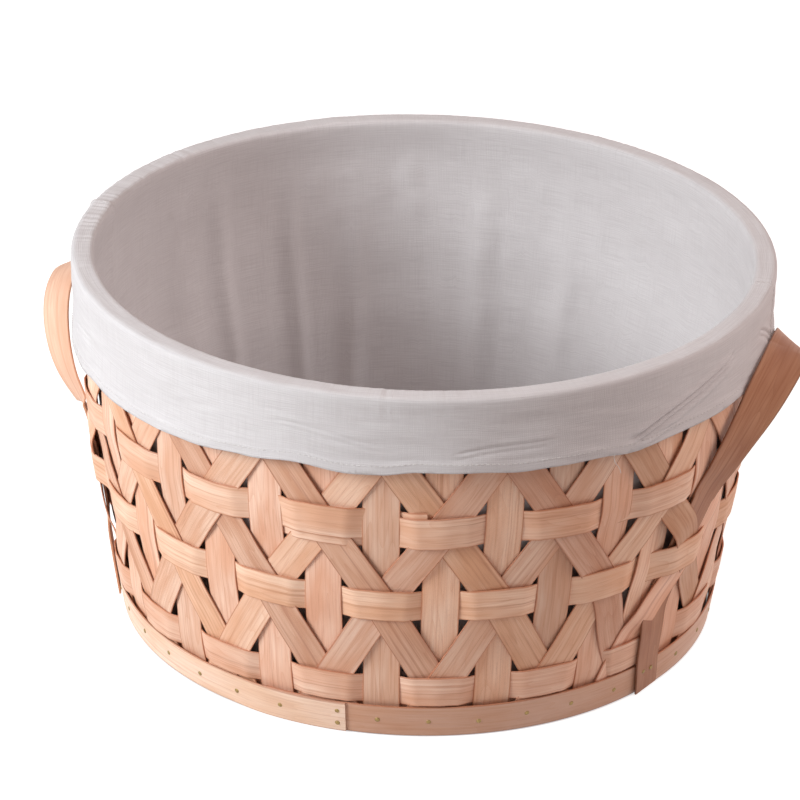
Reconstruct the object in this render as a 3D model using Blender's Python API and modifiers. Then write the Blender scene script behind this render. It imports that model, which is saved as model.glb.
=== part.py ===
# Round chip-wood basket with two side handles and a lift-out cloth liner.
# Metres, +Z up, origin at the centre of the underside, +X through the right-hand handle.
# Azimuths are measured from -Y towards +X, in radians unless a name says degrees.
import math

import bmesh
import bpy
from mathutils import Vector

for old in list(bpy.data.objects):
    bpy.data.objects.remove(old, do_unlink=True)

# Whole basket
basket_height = 0.2370          # floor to the top of the liner's rolled edge
cuff_radius = 0.2150            # outside of the liner's cuff
foot_radius = 0.1866            # outside of the foot hoop where it meets the floor
wall_bulge = 0.0025             # how far the wall swells at half its height

# Wood
veneer = 0.00075                # thickness of every woven strip and hoop
layer_gap = 0.0005              # air between two strips that lie on each other
seat_gap = 0.0003               # air between a piece and what it rests on
side_gap = 0.0006               # air beside the edge of a strip that another one passes
hoop_width = 0.0200
board_thickness = 0.0060
upright_width_share = 0.645     # widths as shares of the room that one strip has
weaver_width_share = 0.600
diagonal_width_share = 0.614
handle_width_share = 0.722
row_room_share = 0.690          # part of a row's height that a strip may count as its room

# Weave
column_count = 36
row_count = 4
foot_row_gap = 0.0025           # air between the foot hoop and the lowest weaver
rim_row_gap = 0.0006            # air between the rim hoops and the highest weaver
foot_lap_azimuth_degrees = 3.6  # where the outer end of the foot hoop lies
foot_lap_length = 0.0500
foot_lap_ramp = 0.0300
foot_band_height = 0.0060       # band that ties the feet of one group of diagonals
swap_length = 0.0160            # height in which the two directions of diagonals change places

# The weave's layers, counted in strips from the wall's middle surface, outward positive
weaver_under_layers = -2.5
upright_layers = -1.5
diagonal_under_layers = -0.5
diagonal_over_layers = 0.5
weaver_over_layers = 1.5
weaver_crown = 0.0003           # how far a weaver stands up where it crosses the diagonals

# Handles
handle_thickness = 0.0015
handle_column_steps = 2         # each leg stands this many columns from the handle's middle
right_handle_drop = 0.0325      # from the top of the basket down to the middle of the strip
right_handle_stand = 0.0140     # from the cuff out to the middle of the strip
right_handle_squareness = 1.10
right_handle_flare = 0.55       # how early a handle leans out on its way up, less is earlier
right_handle_twist_degrees = 72
right_handle_twist_onset = 1.0  # how early it twists, less is earlier
left_handle_drop = 0.0440
left_handle_stand = 0.0150
left_handle_squareness = 1.00
left_handle_flare = 0.42
left_handle_twist_degrees = 65
left_handle_twist_onset = 0.5

# Cloth liner
cloth = 0.0012
cuff_drop = 0.0470              # how far the cuff hangs below the top
cuff_clearance = 0.0006         # air between the cuff and the rim hoop, so that it lifts off
cuff_gap = 0.0008               # least air between the cuff and a handle
bag_clearance = 0.0008          # air between the bag and the innermost strip
edge_roll = 0.0045              # radius of the rolled edge
seam_azimuth_degrees = 100      # where the two side seams lie, to the right and to the left

# Fineness of the meshes
upright_steps = 4
diagonal_steps = 6              # above the swap
diagonal_foot_steps = 2         # below it
hoop_steps = 60
liner_steps = 60
board_steps = 64
arch_steps = 11
roll_steps = 2                  # each quarter of the rolled edge
band_steps = 3                  # foot band between two diagonals
smooth_angle_degrees = 30
weld = 0.00001

diagonal_groups = 4             # per direction
full_turn = 2 * math.pi

layer = veneer + layer_gap
half_veneer = veneer / 2
column_angle = full_turn / column_count
wall_height = basket_height - edge_roll
weave_height = wall_height - 2 * hoop_width - seat_gap - foot_row_gap - rim_row_gap
strip_room = min(foot_radius * column_angle, row_room_share * weave_height / row_count)
upright_width = upright_width_share * strip_room
weaver_width = weaver_width_share * strip_room
diagonal_width = diagonal_width_share * strip_room
handle_width = handle_width_share * strip_room
first_row_height = seat_gap + hoop_width + foot_row_gap + weaver_width / 2
row_spacing = (weave_height - weaver_width) / (row_count - 1)
diagonal_spread = row_spacing / column_angle    # height that a diagonal climbs in one radian
outer_skin = weaver_over_layers * layer + half_veneer
wall_foot_radius = foot_radius - outer_skin
wall_top_radius = cuff_radius - cloth - cuff_clearance - outer_skin
upright_dent = handle_thickness + layer_gap


# Radius of the wall's middle surface at a height
def wall_radius(height):
    share = height / wall_height
    straight = wall_foot_radius + (wall_top_radius - wall_foot_radius) * share
    return straight + wall_bulge * 4 * share * (1 - share)


# Point at an azimuth, an offset outward from the wall's middle surface, and a height
def on_wall(azimuth, offset, height):
    radius = wall_radius(height) + offset
    return Vector((radius * math.sin(azimuth), -radius * math.cos(azimuth), height))


def row_height(row):
    return first_row_height + row_spacing * row


# Straight line through known places, held level before the first and after the last
def follow(places, value):
    if value <= places[0][0]:
        return places[0][1]
    for (start, low), (end, high) in zip(places, places[1:]):
        if value <= end:
            return low + (high - low) * (value - start) / (end - start)
    return places[-1][1]


def finish(name, colour, roughness):
    material = bpy.data.materials.new(name)
    material.use_nodes = True
    shader = material.node_tree.nodes["Principled BSDF"]
    shader.inputs["Base Color"].default_value = (*colour, 1.0)
    shader.inputs["Roughness"].default_value = roughness
    shader.inputs["Metallic"].default_value = 0.0
    return material


# Sheet of cells bent to a shape: place(i, j) gives each corner, i along and j across
def add_sheet(shape, along, across, place):
    grid = bmesh.ops.create_grid(shape, x_segments=along, y_segments=across, size=1)
    for vert in grid["verts"]:
        i = round((vert.co.x + 1) / 2 * along)
        j = round((vert.co.y + 1) / 2 * across)
        vert.co = place(i, j)


def add_object(name, shape, material):
    bmesh.ops.remove_doubles(shape, verts=shape.verts, dist=weld)
    bmesh.ops.recalc_face_normals(shape, faces=shape.faces)
    mesh = bpy.data.meshes.new(name)
    shape.to_mesh(mesh)
    shape.free()
    mesh.materials.append(material)
    thing = bpy.data.objects.new(name, mesh)
    basket.objects.link(thing)
    return thing


def thicken(thing, thickness):
    shell = thing.modifiers.new("Thickness", 'SOLIDIFY')
    shell.thickness = thickness
    shell.offset = 0
    shell.use_even_offset = True
    return thing


def smooth(thing):
    thing.data.shade_smooth()
    thing.data.set_sharp_from_angle(angle=math.radians(smooth_angle_degrees))
    return thing


basket = bpy.data.collections.new("Basket")
bpy.context.scene.collection.children.link(basket)

pale_wood = finish("Pale chip wood", (0.72, 0.46, 0.32), 0.55)
hoop_wood = finish("Hoop wood", (0.68, 0.42, 0.29), 0.55)
handle_wood = finish("Handle wood", (0.52, 0.28, 0.17), 0.5)
plywood = finish("Plywood", (0.62, 0.43, 0.27), 0.6)
cotton = finish("Off-white cotton", (0.80, 0.78, 0.76), 0.9)


# Columns whose upright has a handle's leg on it
def handle_columns():
    quarter = column_count // 4
    columns = []
    for middle in (quarter, column_count - quarter):
        columns += [middle - handle_column_steps, middle + handle_column_steps]
    return columns


# Half of a diagonal's width as an angle, along its level cut at a height
def diagonal_half_turn(height):
    radius = wall_radius(height)
    lean = math.atan(radius / diagonal_spread)
    return diagonal_width / 2 / math.cos(lean) / radius


# A leg dives under the diagonals above the first weaver and is out again below the third:
# the heights where it starts down, lies under them, starts up and is out
def leg_heights():
    edge = weaver_width / 2 + side_gap

    def hidden(height):
        half_turn = (handle_width / 2 + side_gap) / wall_radius(height)
        return diagonal_spread * (half_turn + diagonal_half_turn(height))

    below = row_height(1) - hidden(row_height(0))
    above = row_height(1) + hidden(row_height(1))
    return (row_height(0) + edge, below, above, row_height(2) - edge)


# Upright strip, dented inward where a leg passes between it and the diagonals
def upright(column):
    azimuth = column * column_angle
    start, under, over, end = leg_heights()
    if column in handle_columns():
        dent = ((seat_gap, 0), (start, 0), (under, -upright_dent), (over, -upright_dent), (end, 0),
                (wall_height, 0))
    else:
        rise = wall_height - seat_gap
        dent = [(seat_gap + rise * step / upright_steps, 0) for step in range(upright_steps + 1)]

    def place(i, j):
        height = dent[i][0]
        turn = (j - 1) * upright_width / 2 / wall_radius(height)
        return on_wall(azimuth + turn, upright_layers * layer + dent[i][1], height)

    shape = bmesh.new()
    add_sheet(shape, len(dent) - 1, 2, place)
    thing = add_object(f"upright_{column + 1:02d}", shape, pale_wood)
    thicken(thing, veneer)


# The two directions of diagonals change places between rows one and two, where none cross
swap_middle = (row_height(0) + row_height(1)) / 2
swap_places = (swap_middle - swap_length / 2, swap_middle + swap_length / 2)


# Layer of a diagonal at a height
def diagonal_offset(direction, height):
    above, below = diagonal_over_layers * layer, diagonal_under_layers * layer
    if direction > 0:
        above, below = below, above
    return follow(((swap_places[0], below), (swap_places[1], above)), height)


# Heights at which a diagonal has a row of corners, from its foot band to its top
def diagonal_heights():
    lower, upper = swap_places
    foot = foot_band_height
    heights = [foot + (lower - foot) * step / diagonal_foot_steps for step in range(diagonal_foot_steps + 1)]
    rise = wall_height - upper
    return heights + [upper + rise * step / diagonal_steps for step in range(diagonal_steps + 1)]


# Neighbouring diagonals of one direction, tied at their feet by a band behind the foot hoop
def diagonal_group(direction, group):
    strips = column_count // 2
    first = round(strips * group / diagonal_groups)
    beyond = round(strips * (group + 1) / diagonal_groups)
    heights = diagonal_heights()
    foot = foot_band_height

    def foot_azimuth(index):
        lean = direction * (foot - row_height(0)) / diagonal_spread
        return index * 2 * column_angle + lean

    shape = bmesh.new()
    for index in range(first, beyond):
        def place(i, j, index=index):
            height = heights[i]
            azimuth = index * 2 * column_angle + direction * (height - row_height(0)) / diagonal_spread
            turn = (j - 1) * diagonal_half_turn(height)
            return on_wall(azimuth + turn, diagonal_offset(direction, height), height)

        add_sheet(shape, len(heights) - 1, 2, place)

    half = diagonal_half_turn(foot)
    between = 2 * column_angle - 2 * half
    turns = []
    for index in range(first, beyond):
        middle = foot_azimuth(index)
        turns += [middle + half * step for step in (-1, 0, 1)]
        if index < beyond - 1:
            turns += [middle + half + between * step / band_steps for step in range(1, band_steps)]

    def place_band(i, j):
        return on_wall(turns[i], diagonal_offset(direction, 0), seat_gap + (foot - seat_gap) * j)

    add_sheet(shape, len(turns) - 1, 1, place_band)
    side = "left" if direction > 0 else "right"
    thing = add_object(f"diagonals_{side}_{group + 1}", shape, pale_wood)
    thicken(thing, veneer)


# Weaver: inside the upright at every other column, outside the crossing diagonals between them
def weaver(row):
    middle = row_height(row)
    radius = wall_radius(middle)
    lean = radius / diagonal_spread
    crossing = diagonal_half_turn(middle) * radius + weaver_width / 2 * lean + side_gap
    crossing_edge = crossing / radius
    under = weaver_under_layers * layer
    over = weaver_over_layers * layer + weaver_crown
    stations = []
    for pair in range(column_count // 2):
        column = 1 - row % 2 + pair * 2
        covering = max(upright_width, handle_width) if column in handle_columns() else upright_width
        upright_edge = (covering / 2 + side_gap) / radius
        centre = column * column_angle
        opposite = centre + column_angle
        stations.append((centre - upright_edge, under))
        stations.append((centre + upright_edge, under))
        stations.append((opposite - crossing_edge, over))
        stations.append((opposite, over))
        stations.append((opposite + crossing_edge, over))
    stations.append((stations[0][0] + full_turn, stations[0][1]))

    def place(i, j):
        return on_wall(stations[i][0], stations[i][1], middle + weaver_width * (j - 0.5))

    shape = bmesh.new()
    add_sheet(shape, len(stations) - 1, 1, place)
    thing = add_object(f"weaver_{row + 1}", shape, pale_wood)
    thicken(thing, veneer)


# Closed hoop at the foot or the rim
def hoop(name, layers, bottom):
    def place(i, j):
        return on_wall(full_turn * i / hoop_steps, layers * layer, bottom + hoop_width * j)

    shape = bmesh.new()
    add_sheet(shape, hoop_steps, 1, place)
    thing = add_object(name, shape, hoop_wood)
    smooth(thicken(thing, veneer))


# Outer foot hoop: one strip that runs round and laps over its own start
def lapped_foot_hoop():
    end = math.radians(foot_lap_azimuth_degrees)
    lap = foot_lap_length / foot_radius
    ramp = foot_lap_ramp / foot_radius
    start = end - lap
    over = weaver_over_layers * layer
    places = ((start + full_turn - ramp, over), (start + full_turn - side_gap / foot_radius, over + layer))
    turns = [start + (full_turn - ramp) * step / hoop_steps for step in range(hoop_steps + 1)]
    turns += [places[1][0], start + full_turn + lap / 2, start + full_turn + lap]

    def place(i, j):
        return on_wall(turns[i], follow(places, turns[i]), seat_gap + hoop_width * j)

    shape = bmesh.new()
    add_sheet(shape, len(turns) - 1, 1, place)
    thing = add_object("foot_hoop_outer", shape, hoop_wood)
    smooth(thicken(thing, veneer))


# Round board inside the foot hoops, its underside on the floor
def base_board():
    radius = wall_radius(0) + weaver_under_layers * layer - half_veneer - seat_gap
    shape = bmesh.new()
    bmesh.ops.create_cone(
        shape, cap_ends=True, segments=board_steps, radius1=radius, radius2=radius, depth=board_thickness)
    bmesh.ops.translate(shape, verts=shape.verts, vec=(0, 0, board_thickness / 2))
    smooth(add_object("base_board", shape, plywood))


# Half of a handle, foot to top, mirrored: side is 1 for the right handle and -1 for the left
def handle(name, side, drop, stand, squareness, flare, twist_degrees, onset):
    over = upright_layers * layer + half_veneer + layer_gap + handle_thickness / 2
    under = diagonal_under_layers * layer - half_veneer - layer_gap - handle_thickness / 2
    foot = outer_skin + layer_gap + handle_thickness / 2
    start, below, above, end = leg_heights()
    clear = seat_gap + hoop_width + side_gap
    route_out = ((end, over + layer_gap), (row_height(2), foot))
    leg = ((seat_gap, foot), (clear, foot), ((clear + start) / 2, over), (start, over), (below, under),
           (above, under))
    spread = handle_column_steps * column_angle
    reach = cuff_radius + stand
    rise = basket_height - drop - above
    exit_radius = wall_radius(above) + under
    exit_side = exit_radius * math.sin(spread)
    twist = math.radians(twist_degrees)

    points = []
    for height, offset in leg:
        radius = wall_radius(height) + offset
        points.append((Vector((radius * math.cos(spread), -radius * math.sin(spread), height)), 0))
    first_angle = math.asin(((end - above) / rise) ** (1 / squareness))
    cuff_reached = basket_height - cuff_drop - handle_width / 2
    for step in range(arch_steps + 1):
        angle = first_angle + (math.pi / 2 - first_angle) * step / arch_steps
        share = angle / (math.pi / 2)
        height = above + rise * math.sin(angle) ** squareness
        radius = exit_radius + (reach - exit_radius) * math.sin(angle) ** flare
        tilted = handle_width / 2 * math.sin(twist * share ** onset)
        radius = max(radius, wall_radius(height) + follow(route_out, height) + tilted)
        if height > cuff_reached:
            radius = max(radius, cuff_radius + cuff_gap + handle_thickness / 2 + tilted)
        sideways = exit_side * math.cos(angle) ** squareness if step < arch_steps else 0
        points.append((Vector((math.sqrt(radius ** 2 - sideways ** 2), -sideways, height)), share))

    def place(i, j):
        centre, share = points[i]
        if i < len(leg):
            along = Vector((0, 0, 1))
        elif i < len(points) - 1:
            along = (points[i + 1][0] - points[i - 1][0]).normalized()
        else:
            along = Vector((0, 1, 0))
        outward = Vector((centre.x, centre.y, 0))
        outward = (outward - along * outward.dot(along)).normalized()
        inward_edge = along.cross(outward)
        turn = twist * share ** onset
        width = (j - 1) * handle_width / 2
        wrap = width ** 2 / (2 * Vector((centre.x, centre.y)).length) * (1 - share)
        point = centre + (inward_edge * math.cos(turn) + outward * math.sin(turn)) * width - outward * wrap
        return Vector((side * point.x, point.y, point.z))

    shape = bmesh.new()
    add_sheet(shape, len(points) - 1, 2, place)
    thing = add_object(name, shape, handle_wood)
    mirror = thing.modifiers.new("Other leg", 'MIRROR')
    mirror.use_axis = (False, True, False)
    mirror.merge_threshold = weld
    thicken(thing, handle_thickness)


# The liner's front and back panels, which meet in two side seams: name, first and last azimuth
def liner_panels():
    seam = math.radians(seam_azimuth_degrees)
    half_gap = seat_gap / 2 / cuff_radius
    start, end = half_gap - seam, seam - half_gap
    return (("front", start, end), ("back", end + 2 * half_gap, start - 2 * half_gap + full_turn))


# Offset of the bag's middle surface: inside the innermost strip and the air that lets the liner slide
def bag_offset():
    return upright_layers * layer - upright_dent - half_veneer - bag_clearance - cloth / 2


# Cloth panel: a profile of radius and height, swept from one azimuth to another
def cloth_panel(name, profile, first, last):
    steps = round(liner_steps * (last - first) / full_turn)

    def place(i, j):
        azimuth = first + (last - first) * i / steps
        radius, height = profile[j]
        return Vector((radius * math.sin(azimuth), -radius * math.cos(azimuth), height))

    shape = bmesh.new()
    add_sheet(shape, steps, len(profile) - 1, place)
    smooth(thicken(add_object(name, shape, cotton), cloth))


# Bag: a round floor on the base board and two panels up the inside of the wall
def liner_bag():
    bottom = board_thickness + seat_gap
    top = basket_height - edge_roll - seat_gap
    lower = wall_radius(bottom) + bag_offset()
    upper = wall_top_radius + bag_offset()
    for side, first, last in liner_panels():
        cloth_panel(f"liner_wall_{side}", ((lower, bottom + seat_gap), (upper, top)), first, last)
    radius = lower * math.cos(math.pi / liner_steps) - cloth / 2 - seat_gap
    shape = bmesh.new()
    bmesh.ops.create_cone(
        shape, cap_ends=True, segments=liner_steps, radius1=radius, radius2=radius, depth=cloth)
    bmesh.ops.translate(shape, verts=shape.verts, vec=(0, 0, bottom + cloth / 2))
    smooth(add_object("liner_floor", shape, cotton))


# Cuff: over the rim in a rolled edge and down outside it, plumb unless the wall below is wider
def liner_cuff():
    outside = cuff_radius - cloth / 2
    hem_height = basket_height - cuff_drop
    hem = max(outside, wall_radius(hem_height) + outer_skin + weaver_crown + cuff_clearance + cloth / 2)
    inside = wall_top_radius + bag_offset()
    drop = edge_roll - cloth / 2
    turn_height = basket_height - edge_roll
    quarter = [math.pi / 2 * step / roll_steps for step in range(roll_steps + 1)]
    up = [(outside - drop + drop * math.cos(turn), turn_height + drop * math.sin(turn)) for turn in quarter]
    down = [(inside + drop - drop * math.sin(turn), turn_height + drop * math.cos(turn)) for turn in quarter]
    profile = [(hem, hem_height)] + up + down
    for side, first, last in liner_panels():
        cloth_panel(f"liner_cuff_{side}", profile, first, last)


for number in range(column_count):
    upright(number)
for way in (1, -1):
    for number in range(diagonal_groups):
        diagonal_group(way, number)
for number in range(row_count):
    weaver(number)
hoop("foot_hoop_inner", weaver_under_layers, seat_gap)
lapped_foot_hoop()
hoop("rim_hoop_inner", weaver_under_layers, wall_height - hoop_width)
hoop("rim_hoop_outer", weaver_over_layers, wall_height - hoop_width)
base_board()
handle("handle_right", 1, right_handle_drop, right_handle_stand, right_handle_squareness,
       right_handle_flare, right_handle_twist_degrees, right_handle_twist_onset)
handle("handle_left", -1, left_handle_drop, left_handle_stand, left_handle_squareness,
       left_handle_flare, left_handle_twist_degrees, left_handle_twist_onset)
liner_bag()
liner_cuff()
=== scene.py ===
import bmesh
import bpy
import math
from mathutils import Matrix, Vector, noise


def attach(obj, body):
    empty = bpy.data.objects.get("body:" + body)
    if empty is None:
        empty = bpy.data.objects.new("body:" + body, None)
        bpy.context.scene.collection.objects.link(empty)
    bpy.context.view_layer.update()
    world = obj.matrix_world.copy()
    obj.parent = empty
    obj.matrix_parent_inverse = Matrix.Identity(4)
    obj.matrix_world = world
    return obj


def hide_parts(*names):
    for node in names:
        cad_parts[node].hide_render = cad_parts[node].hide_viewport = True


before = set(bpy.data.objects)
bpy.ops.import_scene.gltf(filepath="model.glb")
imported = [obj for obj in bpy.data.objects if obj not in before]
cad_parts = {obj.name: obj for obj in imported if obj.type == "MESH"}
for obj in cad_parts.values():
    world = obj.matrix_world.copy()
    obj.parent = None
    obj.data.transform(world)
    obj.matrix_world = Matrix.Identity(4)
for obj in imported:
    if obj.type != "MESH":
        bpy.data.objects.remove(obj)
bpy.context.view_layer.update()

print("frame loaded:", len(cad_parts), "nodes")


# Linear colour from an sRGB hex value
def hexColour(code):
    channels = [int(code[i:i + 2], 16) / 255 for i in (1, 3, 5)]
    return tuple(c / 12.92 if c <= 0.04045 else ((c + 0.055) / 1.055) ** 2.4 for c in channels) + (1.0,)


# Sets or links a node's inputs. A node given as a value stands for its first output.
def setInputs(tree, node, sockets):
    for key, value in dict(sockets).items():
        if isinstance(value, bpy.types.Node):
            value = value.outputs[0]
        if isinstance(value, bpy.types.NodeSocket):
            tree.links.new(value, node.inputs[key])
        else:
            node.inputs[key].default_value = value


def addNode(tree, kind, sockets=(), **settings):
    node = tree.nodes.new(kind)
    for key, value in settings.items():
        setattr(node, key, value)
    setInputs(tree, node, sockets)
    return node


def newObject(name, data):
    thing = bpy.data.objects.new(name, data)
    bpy.context.scene.collection.objects.link(thing)
    return thing


# Makes a built shape into an object of one material
def shapeObject(name, shape, material):
    mesh = bpy.data.meshes.new(name)
    shape.to_mesh(mesh)
    shape.free()
    mesh.materials.append(material)
    return newObject(name, mesh)


def ease(share):
    share = min(max(share, 0), 1)
    return share * share * (3 - 2 * share)


# Smooth steps between known places, level before the first and after the last
def track(places, value):
    if value <= places[0][0]:
        return places[0][1]
    for (start, low), (end, high) in zip(places, places[1:]):
        if value <= end:
            return low + (high - low) * ease((value - start) / (end - start))
    return places[-1][1]


# Angle between two azimuths, from -180 to 180 degrees
def turnBetween(first, second):
    return (first - second + 180) % 360 - 180


# The basket's own rule, as in its CAD
wall = {
    "height": 0.2325,           # top of the strips
    "footRadius": 0.18435,      # middle of the wall at the floor
    "topRadius": 0.21095,
    "bulge": 0.0025,
    "columns": 36,
    "firstRow": 0.03257,        # height of the lowest weaver's middle
    "rowSpacing": 0.05652,
    "rowLifts": (0, 0.0052, 0.0015, 0),     # two rows sit a little high of even spacing
    "rows": 4,
    "strip": 0.00075,           # veneer
    "upright": 0.0216,
    "weaver": 0.0209,
    "diagonal": 0.0207,
}
columnTurn = 360 / wall["columns"]


def wallRadius(height):
    share = height / wall["height"]
    straight = wall["footRadius"] + (wall["topRadius"] - wall["footRadius"]) * share
    return straight + wall["bulge"] * 4 * share * (1 - share)


def outward(azimuth):
    turn = math.radians(azimuth)
    return Vector((math.sin(turn), -math.cos(turn), 0))


def wallPoint(azimuth, offset, height):
    return outward(azimuth) * (wallRadius(height) + offset) + Vector((0, 0, height))


def wallNormal(azimuth, height):
    slope = (wallRadius(height + 0.001) - wallRadius(height - 0.001)) / 0.002
    return (outward(azimuth) - Vector((0, 0, slope))).normalized()


# A place on the wall and the way it faces
def wallPlace(azimuth, offset, height):
    return wallPoint(azimuth, offset, height), wallNormal(azimuth, height)


def rowHeight(row):
    return wall["firstRow"] + wall["rowSpacing"] * row + wall["rowLifts"][row]


# Rows up from the lowest weaver, a whole number at the middle of each
def rowsUp(height):
    row = sum(height > rowHeight(n) for n in range(1, wall["rows"] - 1))
    return row + (height - rowHeight(row)) / (rowHeight(row + 1) - rowHeight(row))


# The handles' legs lie between the uprights and the diagonals. They push the weave out over them
# and, near the floor, push it aside.
leg = {
    "exits": (70, 110, 250, 290),
    # degrees round from where the leg comes out, by height, negative away from the handle's middle
    "lean": ((0.000, -6.0), (0.030, -7.3), (0.056, -7.4), (0.100, -3.4), (0.127, -0.9), (0.136, 0.0)),
    "leanShares": {70: 1.0, 110: 1.0, 250: 0.2, 290: 0.1},
    "offset": ((0.000, 0.0040), (0.048, 0.0037), (0.062, 0.0016), (0.090, 0.0016), (0.118, 0.0034), (0.127, 0.0038)),
    "push": ((0.047, 0.0), (0.062, 0.0033), (0.090, 0.0034), (0.118, 0.0050), (0.124, 0.0048), (0.146, 0.0)),
    "halfTurn": 3.2,            # degrees to each side that take the whole push
    "pushTurn": 6.5,            # degrees beyond them that it dies away in
    "aside": 5.0,               # degrees that the weave gives way at the foot
    "asideMiddle": 8, "asideTurn": 9,           # how far beside the leg, and how wide
    "asideTop": 0.060, "asideFade": 0.055,      # height up to which it does, and the fade above
    "asideShares": {70: 1.0, 110: 0.3, 250: 0.2, 290: 0.0},
    "belly": ((0.060, 0.0), (0.100, 0.0010), (0.125, 0.0032), (0.150, 0.0060), (0.172, 0.0052), (0.215, 0.0)),
    "bellyTurn": 28,
    "bellyShares": {90: 1.0, 270: 0.5},
}


def legAzimuth(exitAzimuth, height):
    middle = 90 if exitAzimuth < 180 else 270
    away = 1 if exitAzimuth > middle else -1
    return exitAzimuth - away * track(leg["lean"], height) * leg["leanShares"][exitAzimuth]


def weaveAzimuth(azimuth, height, give):
    shift = 0
    for exitAzimuth in leg["exits"]:
        away = -1 if exitAzimuth in (70, 250) else 1
        share = leg["asideShares"][exitAzimuth]
        turn = turnBetween(azimuth, exitAzimuth + away * leg["asideMiddle"] * share)
        shift += away * leg["aside"] * share * math.exp(-(turn / leg["asideTurn"]) ** 2)
    return azimuth + shift * give * (1 - ease((height - leg["asideTop"]) / leg["asideFade"]))


# How far the legs push the weave out here, and how far it bellies out beside a handle
def weaveSwell(azimuth, height):
    most = 0
    for exitAzimuth in leg["exits"]:
        turn = abs(turnBetween(azimuth, legAzimuth(exitAzimuth, height)))
        beside = 1 - ease((turn - leg["halfTurn"]) / leg["pushTurn"])
        most = max(most, track(leg["push"], height) * beside)
    wide = 0
    for exitAzimuth in leg["exits"]:
        share = leg["bellyShares"][90 if exitAzimuth < 180 else 270]
        wide = max(wide, share * math.exp(-(turnBetween(azimuth, exitAzimuth) / leg["bellyTurn"]) ** 2))
    return most, track(leg["belly"], height) * wide


# A point of the weave: how much of a leg's push the strip takes, and how far it gives way at the foot
def weavePoint(azimuth, offset, height, share, give):
    turned = weaveAzimuth(azimuth, height, give)
    push, belly = weaveSwell(turned, height)
    return wallPlace(turned, offset + push * share + belly, height)


# A material with its tree and its shader
def newMaterial(name):
    material = bpy.data.materials.new(name)
    material.use_nodes = True
    tree = material.node_tree
    return material, tree, tree.nodes["Principled BSDF"]


# Lays tones over a colour: each where its pattern rises from low to high, by a share from least to most
def layTones(tree, colour, tones):
    for pattern, low, high, least, most, tone in tones:
        share = addNode(tree, "ShaderNodeMapRange", {
            "Value": pattern, "From Min": low, "From Max": high, "To Min": least, "To Max": most})
        colour = addNode(tree, "ShaderNodeMix", {0: share, 6: colour, 7: tone}, data_type="RGBA").outputs[2]
    return colour


# A speckled pattern stretched by its own scale along each axis
def grain(tree, place, scales, detail, **sockets):
    stretched = addNode(tree, "ShaderNodeMapping", {"Vector": place, "Scale": scales})
    return addNode(tree, "ShaderNodeTexNoise", {"Vector": stretched, "Scale": 1.0, "Detail": detail, **sockets})


# Chip wood, bare: fine fibres and wavy growth lines along each strip, clouded tone, warm cut edges with painted shade
# along them.
# Each strip carries its own place: metres along, metres across, and its number.
def chipWood(name, pale, deep, edge, toneSpread, roughness, paintedStartShade=0.0):
    material, tree, shader = newMaterial(name)
    place = addNode(tree, "ShaderNodeAttribute", attribute_name="strip").outputs["Vector"]
    number = addNode(tree, "ShaderNodeSeparateXYZ", {"Vector": place}).outputs["Z"]
    fibres, pores, figure, cloudy, creases = (
        grain(tree, place, scales, detail, Roughness=0.6) for scales, detail in (
            ((9, 600, 7.3), 4),         # fibres about 1.7 mm apart, coarser than real so that they show
            ((40, 1300, 17.7), 2),      # short dark pores between them
            ((6, 62, 3.1), 1),          # its contours are the growth lines, 2 to 5 mm apart
            ((16, 60, 5.7), 2),         # blotches 20 to 50 mm long
            ((3, 240, 11.9), 1)))       # a dark line along a strip here and there
    contours = addNode(tree, "ShaderNodeMath", {0: figure, 1: 13}, operation="MULTIPLY")
    rings = addNode(tree, "ShaderNodeMath", {0: contours}, operation="FRACT")
    late = addNode(tree, "ShaderNodeMath", {0: rings, 1: 4.0}, operation="POWER")
    patches = addNode(tree, "ShaderNodeMapRange", {
        "Value": cloudy, "From Min": 0.45, "From Max": 0.75, "To Max": 0.20})
    darkLate = addNode(tree, "ShaderNodeMath", {0: late, 1: patches}, operation="MULTIPLY")
    tones = [(cloudy, 0.34, 0.66, 0.0, 1.0, deep), (late, 0.0, 1.0, 0.0, 0.50, deep),
             (fibres, 0.42, 0.62, 0.0, 0.40, deep), (fibres, 0.54, 0.72, 0.0, 0.30, edge),
             (pores, 0.56, 0.74, 0.0, 0.30, edge), (darkLate, 0.0, 1.0, 0.0, 1.0, edge),
             (creases, 0.66, 0.72, 0.0, 0.36, edge)]
    if paintedStartShade:        # painted shade: the strip is darker over its first length
        fromStart = addNode(tree, "ShaderNodeAttribute", attribute_name="along").outputs["Fac"]
        tones.append((fromStart, 0.08, 0.85, paintedStartShade, 0.0, edge))
    colour = layTones(tree, pale, tones)
    own = addNode(tree, "ShaderNodeTexWhiteNoise", {"W": number}, noise_dimensions="1D").outputs
    hue = addNode(tree, "ShaderNodeMapRange", {"Value": own["Color"], "To Min": 0.491, "To Max": 0.506})
    level = addNode(tree, "ShaderNodeMapRange", {
        "Value": own["Value"], "To Min": 1 - toneSpread, "To Max": 1 + toneSpread * 0.6})
    tuned = addNode(tree, "ShaderNodeHueSaturation", {"Hue": hue, "Value": level, "Color": colour})
    # Near each strip's edges a darker band: partly the warm cut edge, partly painted shade where strips lie on one
    # another
    rim = addNode(tree, "ShaderNodeAttribute", attribute_name="rim").outputs["Fac"]
    cutEdgeAndShade = addNode(tree, "ShaderNodeMath", {0: cloudy, 1: -0.06, 2: rim}, operation="MULTIPLY_ADD")
    relief = addNode(tree, "ShaderNodeMath", {0: late, 1: -0.25, 2: fibres}, operation="MULTIPLY_ADD")
    setInputs(tree, shader, {
        "Base Color": layTones(tree, tuned, [(cutEdgeAndShade, 0.885, 0.945, 0.0, 0.72, edge)]),
        "Normal": addNode(tree, "ShaderNodeBump", {"Strength": 0.4, "Distance": 0.0005, "Height": relief}),
        "Roughness": addNode(tree, "ShaderNodeMapRange", {
            "Value": fibres, "From Min": 0.3, "From Max": 0.7, "To Min": roughness - 0.06,
            "To Max": roughness + 0.08}),
        "Specular IOR Level": 0.65})
    return material


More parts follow.
